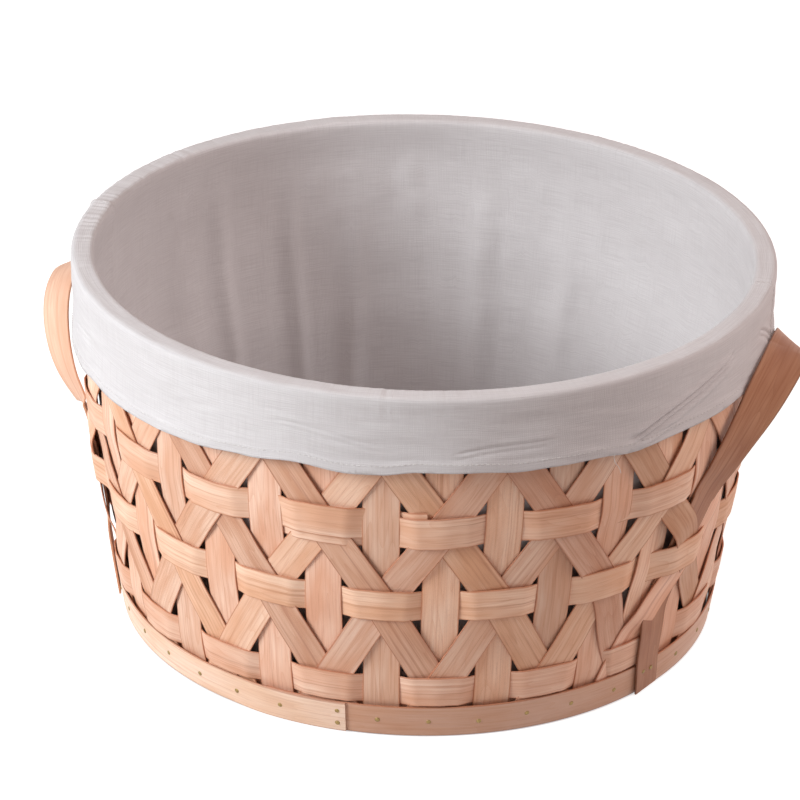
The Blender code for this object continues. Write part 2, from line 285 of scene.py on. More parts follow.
weaveWood = chipWood("Chip wood, bare veneer", hexColour("#FCD7BD"), hexColour("#E8B18E"), hexColour("#B1653C"),
                     0.16, 0.58)
# Painted shade: a darker copy of the weave's wood for the right diagonals, standing in for the duller sheen their
# grain direction shows under the lamps
diagonalShadeWood = chipWood("Chip wood, painted shade for the right diagonals", hexColour("#EFC5A7"), hexColour("#D49D78"), hexColour("#9B5430"),
                    0.16, 0.58)
# Painted shade over each hoop's first length, which on the outer foot hoop runs on from its lap into the shaded side
hoopWood = chipWood("Hoop wood, planed veneer", hexColour("#FDE0CB"), hexColour("#F1C8AA"), hexColour("#A9623C"),
                    0.0, 0.55, paintedStartShade=0.52)
# Partly painted shade: the right handle's strap is a browner wood, and darker still for the shade on its face turned
# from the key lamp
brownStrapAndShade = chipWood("Handle wood, browner strap with painted shade", hexColour("#BA8863"), hexColour("#9F6843"),
                      hexColour("#7E4A2A"), 0.0, 0.50)
paleStrap = chipWood("Handle wood, paler strap", hexColour("#F1C9AC"), hexColour("#DFAD8C"),
                     hexColour("#CF9470"), 0.0, 0.50)


# Sanded birch plywood: pale, broad figure along one way, on the underside of the basket
def plywoodFinish():
    material, tree, shader = newMaterial("Birch plywood, sanded")
    place = addNode(tree, "ShaderNodeTexCoord").outputs["Object"]
    figure = grain(tree, place, (3.0, 55.0, 120.0), 4.0, Distortion=0.6)
    pores = grain(tree, place, (20.0, 700.0, 1400.0), 2.0)
    setInputs(tree, shader, {
        "Base Color": layTones(tree, hexColour("#E2CBA4"), [
            (figure, 0.0, 1.0, 0.0, 1.0, hexColour("#C9A77C")), (pores, 0.58, 0.72, 0.0, 0.4, hexColour("#A98158"))]),
        "Normal": addNode(tree, "ShaderNodeBump", {"Strength": 0.2, "Distance": 0.0004, "Height": pores}),
        "Roughness": 0.6})
    return material


# Plain-weave cotton, washed: matt, slubby threads both ways. The threads are drawn 1.1 mm apart,
# about twice the real spacing, so that they show.
def cottonFinish(name, colour, shade):
    material, tree, shader = newMaterial(name)
    flat = addNode(tree, "ShaderNodeUVMap", uv_map="cloth").outputs["UV"]
    upThreads, levelThreads = (
        addNode(tree, "ShaderNodeTexWave", {
            "Vector": flat, "Scale": 2 * math.pi / 20 / spacing, "Distortion": 0.6, "Detail": 2.0,
            "Detail Scale": 0.6}, wave_type="BANDS", bands_direction=direction, wave_profile="SIN").outputs["Fac"]
        for direction, spacing in (("X", 0.0011), ("Y", 0.0012)))
    weave = addNode(tree, "ShaderNodeMath", {0: upThreads, 1: levelThreads}, operation="MULTIPLY")
    levelSlubs = grain(tree, flat, (40.0, 1500.0, 1.0), 2.0)
    upSlubs = grain(tree, flat, (1500.0, 45.0, 1.0), 2.0)
    clouds = grain(tree, flat, (14.0, 25.0, 1.0), 3.0)
    yarn = addNode(tree, "ShaderNodeMath", {0: levelSlubs, 1: upSlubs}, operation="ADD")
    relief = addNode(tree, "ShaderNodeMath", {0: weave, 1: yarn}, operation="ADD")
    setInputs(tree, shader, {
        "Base Color": layTones(tree, colour, [
            (levelSlubs, 0.40, 0.72, 0.0, 0.50, shade), (upSlubs, 0.45, 0.75, 0.0, 0.30, shade),
            (weave, 0.0, 0.8, 0.20, 0.0, shade), (clouds, 0.35, 0.7, 0.0, 0.25, shade)]),
        "Normal": addNode(tree, "ShaderNodeBump", {"Strength": 0.30, "Distance": 0.00025, "Height": relief}),
        "Roughness": 0.92, "Specular IOR Level": 0.2, "Sheen Weight": 0.1, "Sheen Roughness": 0.5})
    return material


cotton = cottonFinish("Cotton, plain weave", hexColour("#E1DEDE"), hexColour("#C5C0C0"))


# Brass-plated steel nails, dulled: a soft yellow-brown glint
def brassFinish():
    material, tree, shader = newMaterial("Brass-plated nail, dull")
    place = addNode(tree, "ShaderNodeTexCoord").outputs["Object"]
    spots = addNode(tree, "ShaderNodeTexNoise", {"Vector": place, "Scale": 900.0, "Detail": 2.0})
    setInputs(tree, shader, {
        "Base Color": layTones(tree, hexColour("#B09660"), [(spots, 0.0, 1.0, 0.0, 1.0, hexColour("#7A6540"))]),
        "Roughness": addNode(tree, "ShaderNodeMapRange", {"Value": spots, "To Min": 0.32, "To Max": 0.55}),
        "Metallic": 0.7})
    return material


# Sewing thread, white polyester, slightly brighter than the cloth
def threadFinish():
    material, tree, shader = newMaterial("Sewing thread, white")
    place = addNode(tree, "ShaderNodeTexCoord").outputs["Object"]
    twist = addNode(tree, "ShaderNodeTexNoise", {"Vector": place, "Scale": 2500.0, "Detail": 1.0})
    setInputs(tree, shader, {
        "Base Color": layTones(tree, hexColour("#E9E7E5"), [(twist, 0.0, 1.0, 0.0, 1.0, hexColour("#CFCAC6"))]),
        "Roughness": 0.7})
    return material


plywood = plywoodFinish()
brass = brassFinish()
thread = threadFinish()
print("materials made")


# A tree with these inputs between its geometry and its material
def newTree(name, inputs):
    tree = bpy.data.node_groups.new(name, "GeometryNodeTree")
    for label, kind in {"Geometry": "Geometry", **inputs, "Material": "Material"}.items():
        tree.interface.new_socket(label, in_out="INPUT", socket_type="NodeSocket" + kind)
    tree.interface.new_socket("Geometry", in_out="OUTPUT", socket_type="NodeSocketGeometry")
    return tree, addNode(tree, "NodeGroupInput").outputs


def finishTree(tree, geometry, material):
    real = addNode(tree, "GeometryNodeRealizeInstances", {"Geometry": geometry})
    dressed = addNode(tree, "GeometryNodeSetMaterial", {"Geometry": real, "Material": material})
    addNode(tree, "NodeGroupOutput", {"Geometry": dressed})
    return tree


# Sweeps a thin flat strip along each path, face to the stored "faceOut", and stores its own place on it
def stripTree():
    tree, inlet = newTree("Strips along paths", {
        "Width": "Float", "Thickness": "Float", "Chamfer": "Float", "Cup": "Float", "Width variation": "Float",
        "Seed": "Int"})
    faceOut, number, wide, length = (
        addNode(tree, "GeometryNodeInputNamedAttribute", {"Name": name}, data_type=kind) for name, kind in (
            ("faceOut", "FLOAT_VECTOR"), ("number", "INT"), ("wide", "FLOAT"), ("along", "FLOAT")))
    curve = addNode(tree, "GeometryNodeMeshToCurve", {"Mesh": inlet["Geometry"]})
    faced = addNode(tree, "GeometryNodeSetCurveNormal", {"Curve": curve, "Normal": faceOut}, mode="FREE")
    section = addNode(tree, "GeometryNodeCurvePrimitiveQuadrilateral", {
        "Width": inlet["Thickness"], "Height": inlet["Width"]})
    halved = addNode(tree, "GeometryNodeSubdivideCurve", {"Curve": section, "Cuts": 3})
    eased = addNode(tree, "GeometryNodeFilletCurve", {
        "Curve": halved, "Count": 1, "Radius": inlet["Chamfer"], "Limit Radius": True}, mode="POLY")
    kept = tree.nodes.new("GeometryNodeCaptureAttribute")
    kept.capture_items.new("VECTOR", "Place")
    setInputs(tree, kept, {"Geometry": eased, 1: addNode(tree, "GeometryNodeInputPosition")})
    least = addNode(tree, "ShaderNodeMath", {0: 1.0, 1: inlet["Width variation"]}, operation="SUBTRACT")
    most = addNode(tree, "ShaderNodeMath", {0: 1.0, 1: inlet["Width variation"]}, operation="ADD")
    scale = addNode(tree, "FunctionNodeRandomValue", {2: least, 3: most, 7: number, 8: inlet["Seed"]}).outputs[1]
    width = addNode(tree, "ShaderNodeMath", {0: scale, 1: wide}, operation="MULTIPLY")
    swept = addNode(tree, "GeometryNodeCurveToMesh", {
        "Curve": faced, "Profile Curve": kept.outputs["Geometry"], "Scale": width, "Fill Caps": True})
    across = addNode(tree, "ShaderNodeSeparateXYZ", {"Vector": kept.outputs[1]}).outputs["Y"]
    share = addNode(tree, "ShaderNodeMath", {0: across, 1: inlet["Width"]}, operation="DIVIDE")
    doubled = addNode(tree, "ShaderNodeMath", {0: share, 1: 2.0}, operation="MULTIPLY")
    rim = addNode(tree, "ShaderNodeMath", {0: doubled}, operation="ABSOLUTE")
    square = addNode(tree, "ShaderNodeMath", {0: rim, 1: 2.0}, operation="POWER")
    depth = addNode(tree, "ShaderNodeMath", {0: square, 1: inlet["Cup"]}, operation="MULTIPLY")
    bend = addNode(tree, "ShaderNodeVectorMath", {0: faceOut, "Scale": depth}, operation="SCALE")
    bent = addNode(tree, "GeometryNodeSetPosition", {"Geometry": swept, "Offset": bend})
    along = addNode(tree, "ShaderNodeMath", {0: number, 1: 0.731, 2: length}, operation="MULTIPLY_ADD")
    place = addNode(tree, "ShaderNodeCombineXYZ", {"X": along, "Y": across, "Z": number})
    withPlace = addNode(tree, "GeometryNodeStoreNamedAttribute", {
        "Geometry": bent, "Name": "strip", "Value": place}, data_type="FLOAT_VECTOR", domain="POINT")
    withRim = addNode(tree, "GeometryNodeStoreNamedAttribute", {
        "Geometry": withPlace, "Name": "rim", "Value": rim}, data_type="FLOAT", domain="POINT")
    return finishTree(tree, withRim, inlet["Material"])


# A bead of this size on each point, its axis turned to a direction and its size varied a little
def beadsOn(tree, inlet, points, segments, rings, direction, axis, size, least, most):
    bead = addNode(tree, "GeometryNodeMeshUVSphere", {"Segments": segments, "Rings": rings, "Radius": 1.0})
    turned = addNode(tree, "FunctionNodeAlignRotationToVector", {"Vector": direction}, axis=axis)
    sides = addNode(tree, "ShaderNodeCombineXYZ", zip("XYZ", size))
    vary = addNode(tree, "FunctionNodeRandomValue", {2: least, 3: most, 8: inlet["Seed"]}).outputs[1]
    scaled = addNode(tree, "ShaderNodeVectorMath", {0: sides, "Scale": vary}, operation="SCALE")
    placed = addNode(tree, "GeometryNodeInstanceOnPoints", {
        "Points": points, "Instance": bead, "Rotation": turned, "Scale": scaled})
    return finishTree(tree, placed, inlet["Material"])


# Puts a low dome on each point, its axis along the stored "faceOut"
def domeTree():
    tree, inlet = newTree("Domes on points", {"Radius": "Float", "Height": "Float", "Seed": "Int"})
    points = addNode(tree, "GeometryNodeMeshToPoints", {"Mesh": inlet["Geometry"]})
    faceOut = addNode(tree, "GeometryNodeInputNamedAttribute", {"Name": "faceOut"}, data_type="FLOAT_VECTOR")
    return beadsOn(tree, inlet, points, 14, 8, faceOut, "Z",
                   (inlet["Radius"], inlet["Radius"], inlet["Height"]), 0.92, 1.08)


# Lays short rounded stitches along a path
def stitchTree():
    tree, inlet = newTree("Stitches along a path", {
        "Spacing": "Float", "Length": "Float", "Radius": "Float", "Seed": "Int"})
    curve = addNode(tree, "GeometryNodeMeshToCurve", {"Mesh": inlet["Geometry"]})
    spaced = addNode(tree, "GeometryNodeResampleCurve", {"Curve": curve, "Length": inlet["Spacing"]}, mode="LENGTH")
    tangent = addNode(tree, "GeometryNodeInputTangent")
    half = addNode(tree, "ShaderNodeMath", {0: inlet["Length"], 1: 0.5}, operation="MULTIPLY")
    return beadsOn(tree, inlet, spaced, 6, 5, tangent, "X", (half, inlet["Radius"], inlet["Radius"]), 0.85, 1.1)


# A thin round thread along a path
def threadTree():
    tree, inlet = newTree("Thread along a path", {"Radius": "Float"})
    curve = addNode(tree, "GeometryNodeMeshToCurve", {"Mesh": inlet["Geometry"]})
    ring = addNode(tree, "GeometryNodeCurvePrimitiveCircle", {"Resolution": 6, "Radius": inlet["Radius"]})
    tube = addNode(tree, "GeometryNodeCurveToMesh", {"Curve": curve, "Profile Curve": ring, "Fill Caps": True})
    return finishTree(tree, tube, inlet["Material"])


stripNodes = stripTree()
domeNodes = domeTree()
stitchNodes = stitchTree()
threadNodes = threadTree()


# A mesh of open paths: each path is (number, [(point, faceOut), ...]), and a third value scales the width
def pathObject(name, paths, joined=True):
    mesh = bpy.data.meshes.new(name)
    points, edges, faces, numbers, lengths, wides = [], [], [], [], [], []
    for number, path in paths:
        length = 0
        for i, (point, faceOut, *wide) in enumerate(path):
            if i and joined:
                length += (point - path[i - 1][0]).length
                edges.append((len(points) - 1, len(points)))
            points.append(point)
            faces.append(faceOut)
            numbers.append(number)
            lengths.append(length)
            wides.append(wide[0] if wide else 1.0)
    mesh.from_pydata(points, edges, [])
    mesh.attributes.new("faceOut", "FLOAT_VECTOR", "POINT").data.foreach_set("vector", [c for f in faces for c in f])
    for label, kind, values in (("number", "INT", numbers), ("along", "FLOAT", lengths), ("wide", "FLOAT", wides)):
        mesh.attributes.new(label, kind, "POINT").data.foreach_set("value", values)
    return newObject(name, mesh)


# Runs a tree on a piece with its named settings and keeps the result as a plain mesh
def grow(thing, tree, settings):
    modifier = thing.modifiers.new("Rule", "NODES")
    modifier.node_group = tree
    for item in tree.interface.items_tree:
        if item.item_type == "SOCKET" and item.in_out == "INPUT" and item.name in settings:
            modifier[item.identifier] = settings[item.name]
    view = bpy.context.evaluated_depsgraph_get()
    mesh = bpy.data.meshes.new_from_object(thing.evaluated_get(view))
    thing.modifiers.remove(modifier)
    old = thing.data
    thing.data = mesh
    bpy.data.meshes.remove(old)
    mesh.name = thing.name
    return thing


# Welds the caps on and keeps the corners crisp
def sharpen(thing, degrees):
    shape = bmesh.new()
    shape.from_mesh(thing.data)
    bmesh.ops.remove_doubles(shape, verts=shape.verts, dist=0.000001)
    bmesh.ops.recalc_face_normals(shape, faces=shape.faces)
    shape.to_mesh(thing.data)
    shape.free()
    thing.data.shade_smooth()
    thing.data.set_sharp_from_angle(angle=math.radians(degrees))
    return thing


def stripPiece(name, paths, settings, body, nodes):
    thing = sharpen(grow(pathObject(name, paths), stripNodes, settings), 30)
    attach(thing, body)
    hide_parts(*nodes)
    print(name, "-", len(paths), "strips,", len(thing.data.polygons), "faces")


# Slow drift of a strip, the same on every run
def drift(seed, position, size):
    return noise.noise(Vector((position, seed * 3.71, 9.3))) * size


# The uprights, inmost but where a weaver passes behind them
uprights = {"offset": -0.00185, "overWeaver": 0.00115, "underCrossing": -0.0001, "reach": 0.0135, "steps": 60,
            "from": 0.0006, "below": 0.0004,        # off the floor, and short of the wall's top
            "stray": 0.28, "wobble": 0.00018,       # degrees and metres that a strip drifts
            "push": 0.35, "give": 0.3}


def uprightOffset(column, height):
    offset = uprights["offset"]
    for row in range(wall["rows"]):
        push = uprights["overWeaver"] if (column + row) % 2 else uprights["underCrossing"]
        offset += push * math.exp(-((height - rowHeight(row)) / uprights["reach"]) ** 2)
    return offset


paths = []
for column in range(wall["columns"]):
    path = []
    for i in range(uprights["steps"] + 1):
        height = uprights["from"] + (wall["height"] - uprights["from"] - uprights["below"]) * i / uprights["steps"]
        azimuth = column * columnTurn + drift(column, height * 9, uprights["stray"])
        offset = uprightOffset(column, height) + drift(column + 50, height * 14, uprights["wobble"])
        path.append(weavePoint(azimuth, offset, height, uprights["push"], uprights["give"]))
    paths.append((column, path))
uprightNames = [f"upright_{n + 1:02d}" for n in range(wall["columns"])]
stripPiece("uprightStrips", paths, {
    "Width": wall["upright"], "Thickness": wall["strip"], "Chamfer": 0.00016, "Cup": -0.00028,
    "Width variation": 0.035, "Seed": 3, "Material": weaveWood}, "basket", uprightNames)


# Which way lies outside at each row's crossings: the left-leaning ones at the lowest row, the others
# above it, and turn about along the third row.
diagonals = {"apart": 0.00047, "hold": 0.020, "steps": 84, "inset": 0.0074, "stray": 0.35, "wobble": 0.00012,
             "push": 1.0, "give": 0.9, "firstNumber": {1: 40, -1: 60}}


def diagonalSide(direction, index, row):
    if row == 0:
        return direction
    if row == 2:
        pair = index + 1 if direction > 0 else index - 1
        return direction if pair % 2 else -direction
    return -direction


def diagonalOffset(direction, index, height):
    places = []
    for row in range(wall["rows"]):
        level = diagonals["apart"] * diagonalSide(direction, index, row)
        places += [(rowHeight(row) - diagonals["hold"], level), (rowHeight(row) + diagonals["hold"], level)]
    return track(places, height)


for direction, label in ((1, "left"), (-1, "right")):
    paths = []
    for index in range(wall["columns"] // 2):
        path = []
        number = index + diagonals["firstNumber"][direction]
        for i in range(diagonals["steps"] + 1):
            height = diagonals["inset"] + (wall["height"] - 2 * diagonals["inset"]) * i / diagonals["steps"]
            azimuth = index * 2 * columnTurn + direction * columnTurn * rowsUp(height)
            azimuth += drift(number, height * 8, diagonals["stray"])
            offset = diagonalOffset(direction, index, height) + drift(number + 50, height * 14, diagonals["wobble"])
            path.append(weavePoint(azimuth, offset, height, diagonals["push"], diagonals["give"]))
        paths.append((number, path))
    # the right diagonals take the painted-shade copy of the wood
    stripPiece(f"{label}Diagonals", paths, {
        "Width": wall["diagonal"], "Thickness": wall["strip"], "Chamfer": 0.00016, "Cup": -0.00024,
        "Width variation": 0.03, "Seed": 5, "Material": weaveWood if direction > 0 else diagonalShadeWood}, "basket",
        [f"diagonals_{label}_{n}" for n in (1, 2, 3, 4)])


weavers = {"under": -0.00200, "over": 0.00195, "crown": 0.0007, "from": 2.2, "to": 6.4, "stepTurn": 0.5,
           "drop": 0.0031, "layer": 0.0007, "wobble": 0.0006, "wave": 0.0006, "push": 1.1, "give": 0.7,
           # row by row: where the lap starts, its length, which end lies higher (1 the first, -1 the last),
           # and after how many degrees the two ends trade places, in front and behind
           "laps": ((150, 20, 1, 180), (200, 20, 1, 180), (-10, 27.5, -1, 20), (120, 20, 1, 180)),
           "fade": 10, "tradeTurn": 4}      # degrees that a lap and a trade of places take


def weaverOffset(row, azimuth):
    centre = (1 - row % 2) * columnTurn
    away = abs(turnBetween((azimuth - centre) * 18, 0)) / 18       # degrees from the nearest upright that covers it
    share = ease((away - weavers["from"]) / (weavers["to"] - weavers["from"]))
    crown = weavers["crown"] * ease((away - weavers["to"]) / (columnTurn - weavers["to"]))
    return weavers["under"] + (weavers["over"] - weavers["under"]) * share + crown


# One strip a row, its two ends lapped, one a little higher and in front. They end under uprights, save
# for one torn end in the third row that looks out above the other.
paths = []
for row in range(wall["rows"]):
    path = []
    lapStart, lap, upper, trade = weavers["laps"][row]
    steps = round((360 + lap) / weavers["stepTurn"])
    for i in range(steps + 1):
        turn = weavers["stepTurn"] * i
        azimuth = lapStart + turn
        first = 1 - ease((turn - lap) / weavers["fade"])
        last = ease((turn - 360 + weavers["fade"]) / weavers["fade"])
        past = (turn if turn < 180 else turn - 360) - trade + weavers["tradeTurn"] / 2
        side = 1 - 2 * ease(past / weavers["tradeTurn"])
        front = upper * (first - last) * side
        lift = upper * (first - last) * (0.75 + 0.25 * side)
        height = rowHeight(row) + drift(row + 90, azimuth * 0.05, weavers["wobble"]) + weavers["drop"] * lift
        height -= weavers["wave"] * math.cos(math.radians((azimuth - (1 - row % 2) * columnTurn) * 18))
        offset = weaverOffset(row, azimuth) + weavers["layer"] * front
        path.append(weavePoint(azimuth, offset, height, weavers["push"], weavers["give"]))
    paths.append((row + 80, path))
stripPiece("weavers", paths, {
    "Width": wall["weaver"], "Thickness": wall["strip"], "Chamfer": 0.00016, "Cup": -0.00030,
    "Width variation": 0.01, "Seed": 8, "Material": weaveWood}, "basket",
    [f"weaver_{n}" for n in (1, 2, 3, 4)])


# The hoops at the foot and the rim
hoops = {"width": 0.0212, "thickness": 0.00095, "stepTurn": 1.0, "footEnd": 3.6, "lapTurn": 15.4, "rampTurn": 9.2,
         "seat": 0.0004,                            # gap under the foot hoops, and from the rim hoops to the top
         "footOuter": 0.00205, "footLap": 0.00325,  # from the middle of the weave, and where it lies on its own end
         "footInner": -0.00335, "rimOuter": 0.00165, "rimInner": -0.0031,
         "turn": 372, "lapFrom": 352, "lapRamp": 8,  # degrees round a hidden hoop, and where it rides up
         "footInnerStart": 180, "rimOuterStart": 196, "rimInnerStart": 160}


def hoopPath(number, start, total, bottom, offsetAt):
    path = []
    steps = round(total / hoops["stepTurn"])
    for i in range(steps + 1):
        turn = total * i / steps
        path.append(wallPlace(start + turn, offsetAt(turn), bottom + hoops["width"] / 2))
    return number, path


footStart = hoops["footEnd"] - hoops["lapTurn"]


def outerFootOffset(turn):
    return track(((360 - hoops["rampTurn"], hoops["footOuter"]), (360, hoops["footLap"])), turn)


# The hidden hoops' last turn rides up over their first end
def lapped(offset, rise):
    return lambda turn: offset + rise * ease((turn - hoops["lapFrom"]) / hoops["lapRamp"])


hoopSettings = {"Width": hoops["width"], "Thickness": hoops["thickness"], "Chamfer": 0.0002, "Cup": -0.0001,
                "Width variation": 0.0, "Seed": 1, "Material": hoopWood}
stripPiece("outerFootHoop", [hoopPath(100, footStart, 360 + hoops["lapTurn"], hoops["seat"], outerFootOffset)],
           hoopSettings, "basket", ["foot_hoop_outer"])
rimBottom = wall["height"] - hoops["width"] - hoops["seat"]
stripPiece("innerFootHoop", [
    hoopPath(101, hoops["footInnerStart"], hoops["turn"], hoops["seat"], lapped(hoops["footInner"], -0.00081))],
    hoopSettings, "basket", ["foot_hoop_inner"])
stripPiece("rimHoops", [
    hoopPath(102, hoops["rimOuterStart"], hoops["turn"], rimBottom, lapped(hoops["rimOuter"], 0.0004)),
    hoopPath(103, hoops["rimInnerStart"], hoops["turn"], rimBottom, lapped(hoops["rimInner"], -0.0004))],
    dict(hoopSettings, Thickness=wall["strip"]), "basket", ["rim_hoop_outer", "rim_hoop_inner"])


# The two handles, each one bent strap
handles = {
    "width": 0.0224, "thickness": 0.0015, "footShare": 0.86, "legFrom": 0.0017, "legTo": 0.1275,
    "legTurn": 20,              # degrees from a handle's middle to where a leg comes out
    "legSteps": 55, "archSteps": 60, "smoothing": 14,
    # the right handle's wood carries painted shade
    "right": {"middle": 90, "top": 0.2005, "reach": 0.2290, "squareness": 1.10, "flare": 0.55,
              "twist": 72, "onset": 1.0, "archShare": 1.15, "wood": brownStrapAndShade},
    "left": {"middle": 270, "top": 0.1885, "reach": 0.2325, "squareness": 1.00, "flare": 0.42,
             "twist": 65, "onset": 0.5, "archShare": 1.0, "wood": paleStrap},
}
arch = {"from": 0.1287, "out": 0.1352, "exitRadius": 0.1990, "cuff": 0.2158, "cuffFrom": 0.178, "routeTop": 0.1456,
        "route": (0.00025, 0.0033)}


# Half of a handle from a foot to its top: degrees from its middle, radius, height and share of the twist
def halfHandle(shape, leanShare):
    half = []
    belly = 0.8 * leg["bellyShares"][shape["middle"]]
    for i in range(handles["legSteps"] + 1):
        height = handles["legFrom"] + (handles["legTo"] - handles["legFrom"]) * i / handles["legSteps"]
        radius = wallRadius(height) + track(leg["offset"], height) + track(leg["belly"], height) * belly
        half.append((-handles["legTurn"] + track(leg["lean"], height) * leanShare, radius, height, 0))
    rise = shape["top"] - arch["from"]
    halfWidth = handles["width"] / 2 * shape["archShare"]
    exitSide = arch["exitRadius"] * math.sin(math.radians(handles["legTurn"]))
    firstAngle = math.asin(((arch["out"] - arch["from"]) / rise) ** (1 / shape["squareness"]))
    for i in range(handles["archSteps"] + 1):
        angle = firstAngle + (math.pi / 2 - firstAngle) * i / handles["archSteps"]
        share = angle / (math.pi / 2)
        height = arch["from"] + rise * math.sin(angle) ** shape["squareness"]
        radius = arch["exitRadius"] + (shape["reach"] - arch["exitRadius"]) * math.sin(angle) ** shape["flare"]
        tilted = halfWidth * math.sin(math.radians(shape["twist"]) * share ** shape["onset"])
        route = track(((arch["out"], arch["route"][0]), (arch["routeTop"], arch["route"][1])), height)
        radius = max(radius, wallRadius(height) + route + tilted + track(leg["belly"], height) * belly)
        if height > arch["cuffFrom"]:
            radius = max(radius, arch["cuff"] + handles["thickness"] / 2 + tilted)
        sideways = exitSide * math.cos(angle) ** shape["squareness"] if i < handles["archSteps"] else 0
        half.append((-math.degrees(math.asin(sideways / radius)), radius, height, share))
    return half


def handlePath(shape):
    half, other = (halfHandle(shape, leg["leanShares"][shape["middle"] + turn])
                   for turn in (-handles["legTurn"], handles["legTurn"]))
    whole = half + [(-turn, radius, height, share) for turn, radius, height, share in reversed(other[:-1])]
    centres = [outward(shape["middle"] + turn) * radius + Vector((0, 0, height))
               for turn, radius, height, share in whole]
    for _ in range(handles["smoothing"]):       # steam-bent wood has no sudden turns
        between = [(a + b * 2 + c) / 4 for a, b, c in zip(centres, centres[1:], centres[2:])]
        centres = [centres[0]] + between + [centres[-1]]
    path = []
    for i, (turn, radius, height, share) in enumerate(whole):
        along = (centres[min(i + 2, len(centres) - 1)] - centres[max(i - 2, 0)]).normalized()
        side = outward(shape["middle"] + turn)
        side = (side - along * side.dot(along)).normalized()
        twist = math.radians(shape["twist"]) * share ** shape["onset"]
        inward = along.cross(side)
        faceOut = side * math.cos(twist) - inward * math.sin(twist)
        wide = track(((0.03, handles["footShare"]), (0.09, 1), (0.158, 1), (0.19, shape["archShare"])), height)
        path.append((centres[i], faceOut.normalized(), wide))
    return path


for number, label in ((110, "right"), (111, "left")):
    stripPiece(f"{label}Handle", [(number, handlePath(handles[label]))], {
        "Width": handles["width"], "Thickness": handles["thickness"], "Chamfer": 0.0003, "Cup": 0.0,
        "Width variation": 0.0, "Seed": 2, "Material": handles[label]["wood"]}, "basket", [f"handle_{label}"])


# Nail heads on the foot hoop, the handles' feet and the rim
nails = {"radius": 0.0015, "height": 0.00055, "count": 39, "first": 0.1, "level": 0.0106,
         "stray": 0.6, "levelStray": 0.0022,        # degrees and metres that a nail is off its place
         "pair": 2.1, "pairLevels": (0.0062, 0.0152),
         "legClear": 4.2,                           # degrees beside a leg that the foot hoop's nails keep off
         "footTurns": (-1.1, 1.0), "footLevel": 0.0162, "rimCount": 24, "rimFirst": 7, "rimLevel": 0.010}
points = []
for i in range(nails["count"]):
    azimuth = nails["first"] + 360 * i / nails["count"] + drift(i, 0.5, nails["stray"]) if i else nails["pair"]
    if any(abs(turnBetween(azimuth, legAzimuth(a, 0.01))) < nails["legClear"] for a in leg["exits"]):
        continue
    turn = (azimuth - footStart) % 360
    skin = outerFootOffset(turn + 360 if turn < hoops["lapTurn"] else turn) + hoops["thickness"] / 2
    for height in (nails["level"] + drift(i + 20, 0.5, nails["levelStray"]),) if i else nails["pairLevels"]:
        points.append(wallPlace(azimuth, skin, height))
for exitAzimuth in leg["exits"]:
    for step in nails["footTurns"]:
        azimuth = legAzimuth(exitAzimuth, nails["footLevel"]) + step
        skin = track(leg["offset"], nails["footLevel"]) + handles["thickness"] / 2
        points.append(wallPlace(azimuth, skin, nails["footLevel"]))
for i in range(nails["rimCount"]):
    azimuth = nails["rimFirst"] + 360 / nails["rimCount"] * i
    place = wallPoint(azimuth, hoops["rimOuter"] + 0.00038, rimBottom + nails["rimLevel"])
    points.append((place, wallNormal(azimuth, 0.22)))
nailHeads = grow(pathObject("nailHeads", [(0, points)], joined=False), domeNodes, {
    "Radius": nails["radius"], "Height": nails["height"], "Seed": 4, "Material": brass})
nailHeads.data.shade_smooth()
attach(nailHeads, "basket")
print("nails:", len(points))


# The base board keeps its CAD shape
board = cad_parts["base_board"]
board.data.materials.clear()
board.data.materials.append(plywood)


# The sewn cotton liner
liner = {
    "around": 1200,             # cells round the basket before it is thinned
    "triangles": 190000,        # after thinning
    "bottom": 0.0070,
    # from the middle of the weave to the bag, by height: it keeps off the inner hoops
    "clear": ((0.024, 0.0052), (0.034, 0.0040), (0.190, 0.0040), (0.206, 0.0050)),
    # low down, front and back, it hangs in further than at the two handles
    "hangIn": ((0.024, 0.0), (0.044, 0.0048), (0.095, 0.0048), (0.135, 0.0)),
    "hangMiddles": (98, -82),
    "hangTurn": 42,
    "rollInside": 0.20130,      # radius of the cloth where it turns over the rim
    "outside": 0.21480,
    "top": 0.23670,
    "roll": 0.0050,
    "follow": 0.35,             # how much it follows the legs' push
    "slack": 0.0010,            # how far it hangs in from the weave half way up
    "hem": 0.0062,              # height of the sewn hem
    "thickness": 0.0007,
    "seams": (-89.0, 93.0),
    "rows": (36, 16, 56),       # cells up the inside, over the roll and down the cuff
    "hemHeights": ((-180, 0.1875), (-120, 0.1865), (-85, 0.1845), (-54, 0.1832), (-30, 0.1836), (-22, 0.1845),
                   (-12, 0.1866), (-3, 0.1900), (5, 0.1877), (10, 0.1882), (16, 0.1908), (25, 0.1905),
                   (31, 0.1890), (37, 0.1900), (45, 0.1899), (50, 0.1880), (60, 0.1902), (85, 0.1880),
                   (115, 0.1895), (150, 0.1870), (180, 0.1875)),
    # creases pulled into the cuff: from and to as (azimuth, height), and how deep
    "creases": (((49.5, 0.1945), (75.0, 0.2240), 0.0032), ((50.5, 0.1900), (62.5, 0.2010), 0.0007),
                ((-62.0, 0.2010), (-48.0, 0.2120), 0.0004), ((-8.0, 0.2150), (12.0, 0.2060), 0.0004),
                ((20.0, 0.2010), (38.0, 0.2090), 0.0005), ((84.0, 0.2210), (97.0, 0.1960), 0.0009),
                ((140.0, 0.1960), (160.0, 0.2180), 0.0008), ((-150.0, 0.2200), (-131.0, 0.1970), 0.0008),
                ((-95.0, 0.1960), (-84.0, 0.2170), 0.0007)),
}


# A fixed number between low and high for each seed
def chance(seed, low, high):
    return low + (high - low) * min(max(noise.noise(Vector((seed * 7.31, 2.7, 5.1))) * 0.9 + 0.5, 0), 1)


